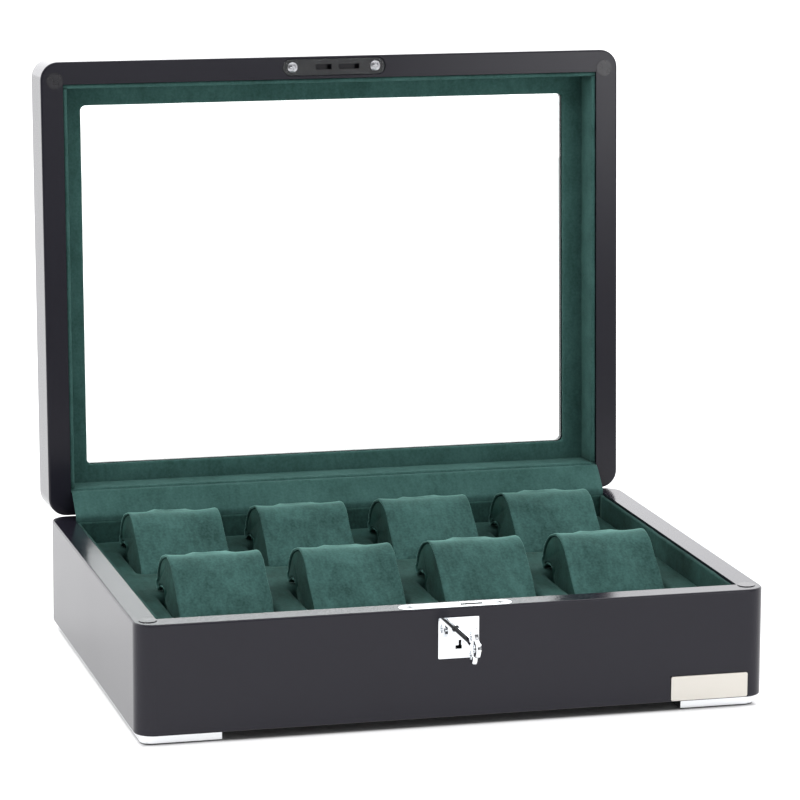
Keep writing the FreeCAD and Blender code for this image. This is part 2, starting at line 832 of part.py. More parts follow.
def make_flap():
    """Velvet strip from the case's back liner to the lid's: upright at both ends, straight between them."""
    foot = "flap_clear - liner_drop"
    turn = "flap_rise + flap_thick * tan(lid_open / 4)"
    base_half = [flap_spot(turn, "flap_thick"), flap_spot(foot, "flap_thick")]
    base_half += [flap_spot(foot, "0"), flap_spot("flap_rise", "0")]
    lid_half = [(y, f"-({z})") for y, z in reversed(base_half)]
    wide = "inner_x - fit_gap"
    body = new_body("flap_body")
    sketch = new_sketch(body, "YZ", f"-({wide})")
    outline(sketch, base_half + lid_half)
    pad(body, sketch, f"2 * ({wide})")
    body.Placement.Rotation = FreeCAD.Rotation(FreeCAD.Vector(-1, 0, 0), sizes["lid_open"] / 2)
    body.setExpression("Placement.Rotation.Angle", bind("lid_open / 2"))
    body.setExpression("Placement.Base.y", bind("pin_y"))
    body.setExpression("Placement.Base.z", bind("pin_z"))
    node(body, "hinge_flap")


# Lock


def plate_screw(name, x, face, upward, grow):
    """Sunk-head screw of a lock plate."""
    radii = ("plate_screw_head", "plate_screw_shank")
    return screw(name, (x, "plate_y", face), upward, radii, ("plate_thick", "plate_screw_length"), grow)


def slot_corners(left, right):
    """Straight slot in a lock plate."""
    return square(f"({left} + {right}) / 2", "plate_y", f"({right} - {left}) / 2", "slit_width / 2")


def make_face_plate():
    """Bright plate flush in the case's front rim, with the slit that the hook rises from."""
    blank = stadium("0", "plate_y", "plate_length / 2", "plate_width / 2")
    body, plate = plate_pad("face_plate_body", blank, "case_top", "rim_z")
    sink(body, "rim_z", [slot_corners("slit_left", "slit_right")], "plate_thick")
    tools = [plate_screw("face_hole", x, "rim_z", False, "running_gap") for x, y in plate_screw_spots]
    node(cut("face_plate_cut", body, *tools), "lock_face_plate")
    screws = []
    for x, y in plate_screw_spots:
        blank = plate_screw("face_blank", x, "rim_z", False, "0")
        screws.append(crossed("face_screw", blank, x, y, ("rim_z - cross_depth", "rim_z + cross_depth")))
    node(group("face_screw_set", screws), "lock_screws")


def make_strike_plate():
    """Plate in the lid's front rim: one slot lets the hook in, its bridge holds it."""
    blank = stadium("0", "plate_y", "plate_length / 2", "plate_width / 2")
    body, plate = plate_pad("strike_body", blank, "strike_z", "strike_z + plate_thick")
    names = [f"Edge{i}" for i, edge in enumerate(plate.Shape.Edges, 1) if level_at(edge, "strike_z")]
    bevel = body.newObject("PartDesign::Chamfer", "strike_bevel")
    bevel.Base = (plate, names)
    bevel.setExpression("Size", bind("plate_bevel"))
    doc.recompute()
    slots = [slot_corners("slit_left", "slit_right"), slot_corners("catch_left", "catch_right")]
    sink(body, "strike_z", slots, "plate_thick", True)
    drill(body, "strike_z", plate_screw_spots, "plate_screw_shank + running_gap", "plate_thick", True)
    lid_node(body, "strike_plate")
    screws = []
    crown = "strike_z - dome_rise"
    dome_radius = "(dome_rise * dome_rise + plate_screw_head * plate_screw_head) / (2 * dome_rise)"
    length = "plate_thick + plate_screw_length"
    for x, y in plate_screw_spots:
        dome = doc.addObject("Part::MultiCommon", "strike_dome")
        disc = rod("strike_disc", "plate_screw_head", "dome_rise", (x, y, crown))
        dome.Shapes = [ball("strike_ball", dome_radius, (x, y, f"{crown} + {dome_radius}")), disc]
        shank = rod("strike_shank", "plate_screw_shank", length, (x, y, "strike_z"))
        blank = fuse("strike_blank", dome, shank)
        heights = (f"{crown} - cross_depth", f"{crown} + cross_depth")
        screws.append(crossed("strike_screw", blank, x, y, heights))
    lid_node(group("strike_screw_set", screws), "strike_screws")


def behind(depth):
    """Place at a depth behind the front face."""
    return f"{depth} - half_depth"


def make_lock_case():
    """Steel box of the lock, open on top under the face plate, with the post of the hook."""
    outer = brick(
        "case_outer",
        ("case_left", "case_right"),
        (behind("case_front"), behind("case_back")),
        ("case_top - case_height", "case_top"),
    )
    inner = brick(
        "case_inner",
        ("case_left + case_wall", "case_right - case_wall"),
        (behind("case_front + case_wall"), behind("case_back - case_wall")),
        ("case_top - case_height + case_wall", "case_top"),
    )
    front = ("0", behind("case_front"), "key_z")
    journal = rod("case_journal", "hub_radius + running_gap", "case_wall", front, "y")
    half_slot = "hole_slot / 2"
    bit_way = brick(
        "case_bit_way",
        (f"-{half_slot}", half_slot),
        (behind("case_front"), behind("case_front + case_wall")),
        ("key_z - hole_drop", "key_z"),
    )
    walls_only = cut("case_walls", outer, inner, journal, bit_way)
    post_foot = ("hook_x", behind("post_front"), "hook_z")
    post = rod("case_post", "hook_post", "case_back - post_front", post_foot, "y")
    node(fuse("case_joined", walls_only, post), "lock_case")


def make_hub():
    """Ring that the key turns, slotted for the bit and running in the lock case's front."""
    length = "hub_back - hub_front"
    drum = rod("hub_drum", "hub_radius", length, ("0", behind("hub_front"), "key_z"), "y")
    bore = rod("hub_bore", "key_radius + running_gap", length, ("0", behind("hub_front"), "key_z"), "y")
    way = brick(
        "hub_way",
        ("-hub_slot / 2", "hub_slot / 2"),
        (behind("hub_front"), behind("hub_back")),
        ("key_z - hub_radius - running_gap", "key_z"),
    )
    node(cut("hub_cut", drum, bore, way), "lock_hub")


def hook_spot(radius, angle):
    """Place on the hook, by distance from its post and angle."""
    return (f"hook_x + ({radius}) * cos({angle})", f"hook_z + ({radius}) * sin({angle})")


def make_hook():
    """Curved bolt on the post: it swings up through the slit and over the strike plate's bridge."""
    outer = "hook_radius + hook_half"
    inner = "hook_radius - hook_half"
    middle = "(hook_tail + hook_tip) / 2"
    body = new_body("hook_body")
    claw = new_sketch(body, "XZ", "half_depth - hook_back")
    outline(claw, [
        hook_spot(outer, "hook_tail"),
        hook_spot(outer, "hook_tip") + hook_spot(outer, middle),
        hook_spot(inner, "hook_tip"),
        hook_spot(inner, "hook_tail") + hook_spot(inner, middle),
    ])
    thickness = "hook_back - hook_front"
    pad(body, claw, thickness)
    boss = new_sketch(body, "XZ", "half_depth - hook_back")
    circle(boss, "hook_x", "hook_z", "hook_boss")
    pad(body, boss, thickness)
    arm = new_sketch(body, "XZ", "half_depth - hook_back")
    outline(arm, [
        hook_spot("hook_boss / 2", "hook_tail"),
        hook_spot("hook_radius", "hook_tail"),
        hook_spot("hook_radius", "hook_arm"),
        hook_spot("hook_boss / 2", "hook_arm"),
    ])
    pad(body, arm, thickness)
    bore = new_sketch(body, "XZ", "half_depth - hook_back")
    circle(bore, "hook_x", "hook_z", "hook_post + running_gap")
    pocket(body, bore, thickness, True)
    node(body, "hook_bolt")


def make_escutcheon():
    """Square bright plate round the keyhole."""
    body = new_body("escutcheon_body")
    sketch = new_sketch(body, "XZ", "half_depth")
    half = "scutcheon_side / 2"
    outline(sketch, rounded("0", f"rim_z - scutcheon_top - {half}", half, half, "scutcheon_round"))
    outline(sketch, keyhole("scutcheon_hole", "scutcheon_slot", "scutcheon_drop"))
    pad(body, sketch, "scutcheon_thick")
    node(body, "escutcheon")


def bow_disc(name, radius, y, z):
    """Flat disc across X with bevelled edges, one part of the key's bow."""
    half = "bow_thick / 2"
    inner = f"{radius} - bow_bevel"
    middle = "bow_thick - 2 * bow_bevel"
    return [
        cone(name + "_left", inner, radius, "bow_bevel", (f"-{half}", y, z), "x"),
        rod(name + "_middle", radius, middle, (f"bow_bevel - {half}", y, z), "x"),
        cone(name + "_right", radius, inner, "bow_bevel", (f"{half} - bow_bevel", y, z), "x"),
    ]


def make_key():
    """Key with one bit, a collar and a flat bow of three pierced lobes."""
    shaft_end = ("0", behind("-bow_out"), "key_z")
    pieces = [rod("key_shaft", "key_radius", "hub_back + bow_out", shaft_end, "y")]
    pieces.append(brick(
        "key_bit",
        ("-bit_width / 2", "bit_width / 2"),
        (behind("bit_front"), behind("bit_back")),
        ("key_z - bit_reach", "key_z"),
    ))
    collar_end = ("0", behind("-collar_out - collar_length"), "key_z")
    pieces.append(rod("key_collar", "collar_radius", "collar_length", collar_end, "y"))
    pieces += bow_disc("key_core", "bow_core", behind("-bow_out"), "key_z")
    lobes = {
        "upper": (behind("-bow_out"), "key_z + loop_side"),
        "lower": (behind("-bow_out"), "key_z - loop_side"),
        "end": (behind("-bow_out - loop_end"), "key_z"),
    }
    holes = []
    for name, (y, z) in lobes.items():
        pieces += bow_disc(f"key_{name}", "loop_radius", y, z)
        holes.append(rod(f"key_{name}_hole", "loop_hole", "bow_thick", ("-bow_thick / 2", y, z), "x"))
    node(cut("key_cut", fuse("key_blank", *pieces), *holes), "key")


# Small trim


def make_pads():
    """Soft dots that part the two front rims."""
    spots = [("-pad_x", "pad_front - half_depth"), ("pad_x", "pad_front - half_depth")]
    base = [rod("base_dot", "pad_radius", "pad_thick", (x, y, "rim_z")) for x, y in spots]
    node(group("base_dots", base), "base_pads")
    lid = [rod("lid_dot", "pad_radius", "pad_thick", (x, y, "lid_z - pad_thick")) for x, y in spots]
    lid_node(group("lid_dots", lid), "lid_pads")


def make_nameplate():
    """Bare plate low on the front."""
    body = new_body("nameplate_body")
    sketch = new_sketch(body, "XZ", "half_depth")
    middle = "foot_height + name_lift + name_height / 2"
    outline(sketch, rounded("name_x", middle, "name_width / 2", "name_height / 2", "name_round"))
    pad(body, sketch, "name_thick")
    node(body, "nameplate")


make_carcass()
make_bottom()
make_feet()
make_liners()
make_tray()
make_cushions()
make_lid_frame()
make_glazing()
make_hinges()
make_flap()
make_face_plate()
make_strike_plate()
make_lock_case()
make_hub()
make_hook()
make_escutcheon()
make_key()
make_pads()
make_nameplate()
doc.recompute()

for item in doc.Objects:
    if "Invalid" in item.State or "Error" in item.State:
        raise RuntimeError(f"{item.Label} did not build: {item.State}")
for piece in nodes:
    if piece.Shape.isNull() or not piece.Shape.isValid():
        raise RuntimeError(f"{piece.Label} has no valid shape")

os.makedirs("parts", exist_ok=True)
for piece in nodes:
    piece.Shape.exportStep(f"parts/{piece.Label}.step")
print(f"{len(nodes)} nodes written")
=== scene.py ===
# %% [markdown]
# # A watch box in black lacquer and green suede cloth
#
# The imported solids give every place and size. This lesson dresses them: lacquer, chrome and glass go
# straight on the solids, and everything covered in suede cloth is modelled again as a soft piece.

# %% Load the solids
import math

import bmesh
import bpy
from mathutils import Matrix, Vector, noise


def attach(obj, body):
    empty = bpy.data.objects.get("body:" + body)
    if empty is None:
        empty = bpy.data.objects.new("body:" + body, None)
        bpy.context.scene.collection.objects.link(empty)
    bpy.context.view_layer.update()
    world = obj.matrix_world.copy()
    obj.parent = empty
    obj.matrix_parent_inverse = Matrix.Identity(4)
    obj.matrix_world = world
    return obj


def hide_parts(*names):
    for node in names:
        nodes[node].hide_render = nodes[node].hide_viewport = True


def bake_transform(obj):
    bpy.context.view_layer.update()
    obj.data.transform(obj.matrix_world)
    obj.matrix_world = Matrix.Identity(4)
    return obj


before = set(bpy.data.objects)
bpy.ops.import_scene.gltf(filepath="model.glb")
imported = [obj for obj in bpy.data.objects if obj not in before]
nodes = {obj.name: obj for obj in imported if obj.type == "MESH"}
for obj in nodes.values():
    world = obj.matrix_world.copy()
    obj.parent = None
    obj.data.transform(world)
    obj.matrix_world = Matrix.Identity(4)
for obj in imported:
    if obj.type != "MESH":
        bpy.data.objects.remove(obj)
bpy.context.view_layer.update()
MM = 0.001

# %% [markdown]
# ## The photographer's place
#
# A long lens a little over two metres away, to the left of the middle and somewhat above the lid.
# Two directions of the camera, its right and its down, come from a fit of the box's straight edges,
# so they are written as vectors rather than as angles. The third is square to both.

# %% Camera
CAMERA_SPOT = Vector((-0.525536, -1.989936, 0.550685))
CAMERA_RIGHT = Vector((0.9668, -0.25548, 0.005))
CAMERA_DOWN = Vector((-0.04441, -0.18725, -0.98131))
CAMERA_REACH = 50.0
LENS_MM = 175.296
SENSOR_MM = 36.0


def aim_camera():
    """Camera at the photograph's place and angle."""
    data = bpy.data.cameras.new("portrait_lens")
    data.lens = LENS_MM
    data.sensor_width = SENSOR_MM
    data.clip_end = CAMERA_REACH
    camera = bpy.data.objects.new("portrait_camera", data)
    bpy.context.scene.collection.objects.link(camera)
    up = -CAMERA_DOWN
    back = CAMERA_RIGHT.cross(up)
    turn = Matrix((CAMERA_RIGHT, up, back)).transposed()
    camera.matrix_world = Matrix.Translation(CAMERA_SPOT) @ turn.to_4x4()
    bpy.context.scene.camera = camera
    return camera


print("camera at", [round(place, 3) for place in aim_camera().location])

# %% [markdown]
# ## Small tools for finishes
#
# Paint charts give colours as sRGB hex, and Blender counts light in linear values, so one function
# changes the first into the second. Every finish is a little graph of nodes, so one function feeds
# the sockets of a node, and another adds a node, sets it and feeds it in a single line. A pattern's
# scale is worked out from its real size in millimetres.

# %% Finish tools
COLOURS = {"data_type": "RGBA"}


def colour(hex_text):
    """Linear colour from an sRGB hex value."""
    parts = [int(hex_text[place : place + 2], 16) / 255 for place in (1, 3, 5)]
    return (*[part / 12.92 if part <= 0.04045 else ((part + 0.055) / 1.055) ** 2.4 for part in parts], 1.0)


def feed(tree, node, **sockets):
    """Fills sockets, each with a plain value, an output or, given a node, that node's first output."""
    for name, value in sockets.items():
        socket = node.inputs[int(name[1:])] if name[1:].isdigit() else node.inputs[name.replace("_", " ")]
        if isinstance(value, bpy.types.Node):
            value = value.outputs[0]
        if isinstance(value, bpy.types.NodeSocket):
            tree.links.new(value, socket)
        else:
            socket.default_value = value


def add(tree, kind, settings=None, **sockets):
    """One node with its settings and links; a socket goes by its name or, as in _6, by its number."""
    node = tree.nodes.new(kind)
    for name, value in (settings or {}).items():
        setattr(node, name, value)
    feed(tree, node, **sockets)
    return node


def new_finish(name):
    """Empty material with its nodes and its shader."""
    material = bpy.data.materials.new(name)
    material.use_nodes = True
    shader = material.node_tree.nodes["Principled BSDF"]
    return material, material.node_tree, shader


def per_mm(size_mm):
    """Texture scale whose pattern repeats about every so many millimetres."""
    return 1.0 / (size_mm * MM)


print("middle grey #808080 in linear light:", [round(part, 4) for part in colour("#808080")[:3]])

# %% [markdown]
# ## Light
#
# The box stands in a white sweep. The back, the sides and the top glow, and the room behind the
# photographer is dark but for one low lamp on the right, with a dark seam in it. A graded sky gives
# all of that with no lamp to make hard shadows. Each edge in the sky is a smooth change along one
# part of a ray's direction, and polished things show it clearly: the rims mirror the white back, and
# the upright plates mirror the dark room and its lamp.

# %% Sky
BACK_GLOW = 2.3
SIDE_GLOW = 2.0
TOP_GLOW = 1.7
DIM_FRONT = 0.06
LIT_FRONT = 6.0
SEAM_MIDDLE = 0.238
SEAM_HALF = 0.036
SMOOTH = {"interpolation_type": "SMOOTHSTEP"}
# Axis of the ray's direction, where the change starts and ends on it, and the levels before and after.
SKY_EDGES = {
    "lamp_left": ("X", 0.12, 0.27, 0.0, 1.0),
    "lamp_right": ("X", 0.4, 0.55, 1.0, 0.0),
    "lamp_top": ("Z", 0.15, 0.3, 1.0, 0.0),
    "front_foot": ("Z", -0.14, 0.0, 0.15, 1.0),
    "front_to_side": ("Y", -0.9, 0.1, 0.0, 1.0),
    "side_to_back": ("Y", 0.1, 0.9, 0.0, BACK_GLOW - SIDE_GLOW),
    "side_to_top": ("Z", 0.3, 0.85, 0.0, 1.0),
}


def light_sweep():
    """Sky that is bright behind and beside the box, and lit only from the right in front."""
    world = bpy.data.worlds.new("white_sweep")
    bpy.context.scene.world = world
    world.use_nodes = True
    tree = world.node_tree
    ray = add(tree, "ShaderNodeSeparateXYZ", Vector=add(tree, "ShaderNodeTexCoord").outputs["Generated"])
    edge = {}
    for name, (axis, *levels) in SKY_EDGES.items():
        sockets = {f"_{place}": level for place, level in enumerate(levels, 1)}
        edge[name] = add(tree, "ShaderNodeMapRange", SMOOTH, Value=ray.outputs[axis], **sockets)
    across = ray.outputs["X"]
    seam = add(tree, "ShaderNodeMath", {"operation": "COMPARE"}, _0=across, _1=SEAM_MIDDLE, _2=SEAM_HALF)
    panel = add(tree, "ShaderNodeMath", {"operation": "SUBTRACT"}, _0=1.0, _1=seam)
    lamp = edge["lamp_left"]
    for part in (edge["lamp_right"], edge["lamp_top"], panel):
        lamp = add(tree, "ShaderNodeMath", {"operation": "MULTIPLY"}, _0=lamp, _1=part)
    front = add(tree, "ShaderNodeMix", _0=lamp, _2=DIM_FRONT, _3=LIT_FRONT)
    front = add(tree, "ShaderNodeMath", {"operation": "MULTIPLY"}, _0=front, _1=edge["front_foot"])
    around = add(tree, "ShaderNodeMath", {"operation": "ADD"}, _0=SIDE_GLOW, _1=edge["side_to_back"])
    level = add(tree, "ShaderNodeMix", _0=edge["front_to_side"], _2=front, _3=around)
    strength = add(tree, "ShaderNodeMix", _0=edge["side_to_top"], _2=level, _3=TOP_GLOW)
    feed(tree, tree.nodes["Background"], Strength=strength, Color=colour("#fdfdff"))


light_sweep()
bpy.context.scene.view_settings.view_transform = "Standard"
print("sweep glows", BACK_GLOW, "behind,", DIM_FRONT, "to", LIT_FRONT, "in front")

# %% [markdown]
# The floor is matt white paper with a faint painted glow, which keeps it white in the picture. It
# does not glow under the box, where a real floor lies in shade. Far out in front it is greyer and has
# no glow: painted shade, where the room's light falls off towards the photographer, so that the
# lacquered front has something darker to mirror.

# %% Floor
FLOOR_PAINTED_GLOW = 0.55
FLOOR_FAR_PAINTED_SHADE = "#8c8c8c"
FLOOR_NEAR = "#d2d2d2"
# Metres: the floor, where it fades in front, half the patch in shade, and that patch's soft edge.
FLOOR_REACH = 6.0
FADE_FROM = -1.1
FADE_TO = -0.45
SHADE_HALF = {"X": 0.1655, "Y": 0.1255}
SHADE_FROM = -0.004
SHADE_TO = 0.001


def lay_floor():
    """Pale paper floor with a painted glow, none under the box, and painted shade far out in front."""
    far = FLOOR_REACH
    mesh = bpy.data.meshes.new("floor")
    mesh.from_pydata([(-far, -far, 0), (far, -far, 0), (far, far, 0), (-far, far, 0)], [], [(0, 1, 2, 3)])
    floor = bpy.data.objects.new("floor", mesh)
    bpy.context.scene.collection.objects.link(floor)
    material, tree, shader = new_finish("matt_white_sweep_paper_painted_glow_and_shade")
    place = add(tree, "ShaderNodeSeparateXYZ", Vector=add(tree, "ShaderNodeTexCoord").outputs["Object"])
    gaps = []
    for axis, half in SHADE_HALF.items():
        out = add(tree, "ShaderNodeMath", {"operation": "ABSOLUTE"}, _0=place.outputs[axis])
        gaps.append(add(tree, "ShaderNodeMath", {"operation": "SUBTRACT"}, _0=out, _1=half))
    gap = add(tree, "ShaderNodeMath", {"operation": "MAXIMUM"}, _0=gaps[0], _1=gaps[1])
    free = add(tree, "ShaderNodeMapRange", SMOOTH, Value=gap, From_Min=SHADE_FROM, From_Max=SHADE_TO)
    depth = place.outputs["Y"]
    near = add(tree, "ShaderNodeMapRange", SMOOTH, Value=depth, From_Min=FADE_FROM, From_Max=FADE_TO)
    lit = add(tree, "ShaderNodeMath", {"operation": "MULTIPLY"}, _0=free, _1=near)
    # Greyer far in front is painted shade; the glow is painted light, kept off the patch under the box.
    tint = add(tree, "ShaderNodeMix", COLOURS, _0=near, _6=colour(FLOOR_FAR_PAINTED_SHADE), _7=colour(FLOOR_NEAR))
    glow = add(tree, "ShaderNodeMix", COLOURS, _0=lit, _6=colour("#000000"), _7=colour("#ffffff"))
    feed(tree, shader, Base_Color=tint.outputs[2], Roughness=0.9, Specular_IOR_Level=0.2)
    feed(tree, shader, Emission_Color=glow.outputs[2], Emission_Strength=FLOOR_PAINTED_GLOW)
    mesh.materials.append(material)


lay_floor()
print("paper floor", 2 * FLOOR_REACH, "m wide, fading", -FADE_TO, "to", -FADE_FROM, "m in front")

# %% [markdown]
# ## Black lacquer on fibreboard
#
# The walls are medium-density fibreboard, sprayed with black satin lacquer. Spraying leaves a very
# shallow orange peel, a few millimetres from bump to bump, and the sheen drifts slightly from spot
# to spot. The colour itself is almost nothing: what the eye sees is the room mirrored in it.

# %% Lacquer
PEEL_MM = 2.4
PEEL_DEPTH_MM = 0.02
DRIFT_MM = 60.0
SATIN_LOW = 0.14
SATIN_HIGH = 0.2


def lacquer():
    """Sprayed satin lacquer over fibreboard."""
    material, tree, shader = new_finish("black_satin_lacquer_sprayed_on_fibreboard")
    place = add(tree, "ShaderNodeTexCoord").outputs["Object"]
    drift = add(tree, "ShaderNodeTexNoise", Vector=place, Scale=per_mm(DRIFT_MM), Detail=3.0)
    gloss = add(tree, "ShaderNodeMapRange", Value=drift, To_Min=SATIN_LOW, To_Max=SATIN_HIGH)
    tint = add(tree, "ShaderNodeMix", COLOURS, _0=drift, _6=colour("#1b1a22"), _7=colour("#201f28"))
    peel = add(tree, "ShaderNodeTexNoise", Vector=place, Scale=per_mm(PEEL_MM), Detail=2.0)
    bump = add(tree, "ShaderNodeBump", Height=peel, Strength=0.03, Distance=PEEL_DEPTH_MM * MM)
    feed(tree, shader, Base_Color=tint.outputs[2], Roughness=gloss, Normal=bump, Specular_IOR_Level=0.27)
    return material


def dress(names, material):
    """Gives solids a finish in place of their plain one."""
    for name in names:
        mesh = nodes[name].data
        mesh.materials.clear()
        mesh.materials.append(material)
        for face in mesh.polygons:
            face.material_index = 0


dress(["base_carcass", "lid_frame"], lacquer())
print("lacquer on case and lid, orange peel every", PEEL_MM, "mm")

# %% [markdown]
# ## Polished and satin metal
#
# The runners, lock plates and key are zinc and steel, chrome-plated and buffed. Plating is nearly a
# mirror, so its look is all reflection: the finish only needs a bright base, a very low roughness
# and the faint hairlines that buffing leaves. The screws and hinges are plain zinc-plated steel,
# greyer and softer. The little plate low on the front is aluminium, brushed along its length. Real
# hairlines are finer than a tenth of a millimetre, too fine to show, so they are drawn coarser.

# %% Metals
HAIRLINE_MM = 0.6
BRUSH_MM = 0.9
LINE_DEPTH_MM = 0.01


def metal(name, tone, smoothest, roughest, stretch, line_mm):
    """Metal whose roughness follows fine lines drawn out along one axis."""
    material, tree, shader = new_finish(name)
    place = add(tree, "ShaderNodeTexCoord").outputs["Object"]
    drawn = add(tree, "ShaderNodeMapping", Vector=place, Scale=stretch)
    lines = add(tree, "ShaderNodeTexNoise", Vector=drawn, Scale=per_mm(line_mm), Detail=4.0)
    gloss = add(tree, "ShaderNodeMapRange", Value=lines, To_Min=smoothest, To_Max=roughest)
    bump = add(tree, "ShaderNodeBump", Height=lines, Strength=0.05, Distance=LINE_DEPTH_MM * MM)
    feed(tree, shader, Base_Color=colour(tone), Metallic=1.0, Roughness=gloss, Normal=bump)
    return material


chrome = metal("chrome_plate_buffed", "#eceef0", 0.02, 0.06, (0.1, 1.0, 1.0), HAIRLINE_MM)
zinc = metal("zinc_plated_steel_drawn", "#b9babd", 0.22, 0.34, (1.0, 1.0, 0.2), HAIRLINE_MM)
brushed = metal("aluminium_brushed_lengthwise", "#cdc9c1", 0.3, 0.42, (0.04, 1.0, 1.0), BRUSH_MM)
plated = ["foot_left", "foot_right", "lock_face_plate", "strike_plate", "escutcheon", "key"]
hinges = [name for name in nodes if name.startswith("hinge_") and name != "hinge_flap"]
lock_works = ["lock_case", "lock_hub", "hook_bolt", "lock_screws", "strike_screws"]
dress(plated, chrome)
dress(hinges + lock_works, zinc)
dress(["nameplate"], brushed)
print("chrome on", len(plated), "solids, zinc on", len(hinges + lock_works), "and aluminium on one")

# %% [markdown]
# ## Glass, bumper dots and the underside
#
# The pane is clear float glass, 2.5 mm thick: real refraction in a solid of the real thickness.
# The dots in the front corners are clear polyurethane, so what they show is the lacquer below, a
# touch lighter. The board underneath is flocked black. The lowest faces of the runners get the same
# black finish as painted shade: the thin contact shadow along their foot. Flock is too fine to show,
# so its grain is drawn coarser.

# %% Glass, dots, underside
WAVE_MM = 80.0
WAVE_DEPTH_MM = 0.01
CLOUD_MM = 3.0
FLOCK_MM = 1.2
FLECK_DEPTH_MM = 0.1
PAINTED_SHADOW_MM = 0.7


def glass():
    """Clear float glass with the faintest waviness of its surface."""
    material, tree, shader = new_finish("clear_float_glass")
    place = add(tree, "ShaderNodeTexCoord").outputs["Object"]
    wave = add(tree, "ShaderNodeTexNoise", Vector=place, Scale=per_mm(WAVE_MM), Detail=1.0)
    bump = add(tree, "ShaderNodeBump", Height=wave, Strength=0.02, Distance=WAVE_DEPTH_MM * MM)
    feed(tree, shader, Base_Color=colour("#fbfffd"), Roughness=0.0, Normal=bump)
    feed(tree, shader, IOR=1.45, Transmission_Weight=1.0)
    return material


def flecked(name, dark, light, grain_mm, roughness):
    """Stuff with two close tones in fine grains."""
    material, tree, shader = new_finish(name)
    place = add(tree, "ShaderNodeTexCoord").outputs["Object"]
    grain = add(tree, "ShaderNodeTexNoise", Vector=place, Scale=per_mm(grain_mm), Detail=3.0)
    tint = add(tree, "ShaderNodeMix", COLOURS, _0=grain, _6=colour(dark), _7=colour(light))
    bump = add(tree, "ShaderNodeBump", Height=grain, Strength=0.2, Distance=FLECK_DEPTH_MM * MM)
    feed(tree, shader, Base_Color=tint.outputs[2], Roughness=roughness, Normal=bump)
    return material


def paint_foot_shadow(names, material):
    """Gives the lowest faces of solids a second, black finish: painted contact shadow."""
    for name in names:
        mesh = nodes[name].data
        mesh.materials.append(material)
        for face in mesh.polygons:
            if (nodes[name].matrix_world @ face.center).z < PAINTED_SHADOW_MM * MM:
                face.material_index = 1


dress(["glass_pane"], glass())
clear_dot = flecked("polyurethane_dot_clear_on_lacquer", "#19181c", "#242328", CLOUD_MM, 0.22)
dress(["base_pads", "lid_pads"], clear_dot)
flock = flecked("black_flock_on_board_and_painted_foot_shadow", "#141414", "#262626", FLOCK_MM, 0.95)
dress(["bottom_panel"], flock)
# Painted contact shadow: the runners' lowest faces get the black flock finish.
paint_foot_shadow(["foot_left", "foot_right"], flock)
print("pane, dots and underside dressed, flock grain", FLOCK_MM, "mm")

# %% [markdown]
# ## Green suede cloth
#
# Everything inside is covered in microfibre suede: very short hairs on a knitted back. Three things
# make it read as suede. The hairs catch light at a glancing angle, which Blender calls sheen. Fingers
# leave patches about two centimetres wide, and strokes of a few millimetres down the slope, where the
# hairs lean another way and look a shade lighter or darker. And there is a fine grain. Real hairs are
# a twentieth of a millimetre, far too fine to see from here, so the grain is drawn over a millimetre
# wide. The same cloth gets four tones with light and shade painted into them: a lit tone on the
# pillows, a lighter painted tone on the lid's boards and frame and on the flap, painted shade in the
# case, and deeper painted shade on the end caps and under the tails.

# %% Suede
PATCH_MM = 22.0
STROKE_MM = 3.0
GRAIN_MM = 1.3
NAP_DEPTH_MM = 0.25
STROKE_STRETCH = (1.0, 0.4, 0.4)
STROKE_SHARE = 0.45
GRAIN_SHARE = 0.35
STROKE_RELIEF = 0.3
NAP_LOW = 0.36
NAP_HIGH = 0.64


def suede(name, dark, light, sheen):
    """Microfibre suede: faint patches, strokes drawn down the slope and a fine grain."""
    material, tree, shader = new_finish(name)
    place = add(tree, "ShaderNodeTexCoord").outputs["Object"]
    drawn = add(tree, "ShaderNodeMapping", Vector=place, Scale=STROKE_STRETCH)
    patch = add(tree, "ShaderNodeTexNoise", Vector=place, Scale=per_mm(PATCH_MM), Detail=1.0)
    stroke = add(tree, "ShaderNodeTexNoise", Vector=drawn, Scale=per_mm(STROKE_MM), Detail=3.0)
    grain = add(tree, "ShaderNodeTexNoise", Vector=place, Scale=per_mm(GRAIN_MM), Detail=3.0)
    lay = add(tree, "ShaderNodeMix", _0=STROKE_SHARE, _2=patch, _3=stroke)
    lay = add(tree, "ShaderNodeMix", _0=GRAIN_SHARE, _2=lay, _3=grain)
    nap = add(tree, "ShaderNodeMapRange", Value=lay, From_Min=NAP_LOW, From_Max=NAP_HIGH)
    tint = add(tree, "ShaderNodeMix", COLOURS, _0=nap, _6=colour(dark), _7=colour(light))
    height = add(tree, "ShaderNodeMix", _0=STROKE_RELIEF, _2=grain, _3=stroke)
    bump = add(tree, "ShaderNodeBump", Height=height, Strength=0.35, Distance=NAP_DEPTH_MM * MM)
    feed(tree, shader, Base_Color=tint.outputs[2], Roughness=0.92, Normal=bump, Specular_IOR_Level=0.15)
    feed(tree, shader, Sheen_Weight=sheen, Sheen_Roughness=0.35, Sheen_Tint=colour("#8fc4b8"))
    return material


# One cloth in four tones: the tones are painted light and shade, not a difference in the cloth.
suede_lit_pillows = suede("green_microfibre_suede_lit_tone", "#294541", "#426762", 0.95)
suede_painted_lighter = suede("green_microfibre_suede_painted_lighter_tone", "#32534e", "#456a65", 0.3)
suede_painted_shade = suede("green_microfibre_suede_painted_shade_tone", "#1d3530", "#2e4f4a", 0.15)
suede_painted_deep_shade = suede("green_microfibre_suede_painted_deep_shade_tone", "#1b342f", "#2c524b", 0.12)
print("suede strokes", STROKE_MM, "mm wide, grain", GRAIN_MM, "mm")

# %% [markdown]
# ## Rings and skins
#
# A covered board, a flap and a pillow are all the same idea in mesh: rings of points, one after
# another, with a skin between neighbours. One function makes the skin, another a rounded outline.
# A third gives a soft piece the small unevenness of cloth glued over board: each point moves a
# fraction of a millimetre along its normal, by a noise that is the same on every run.

# %% Mesh tools
# How far the noise is shifted from one seed to the next.
SEED_STEPS = (7.31, 3.17, 5.73)


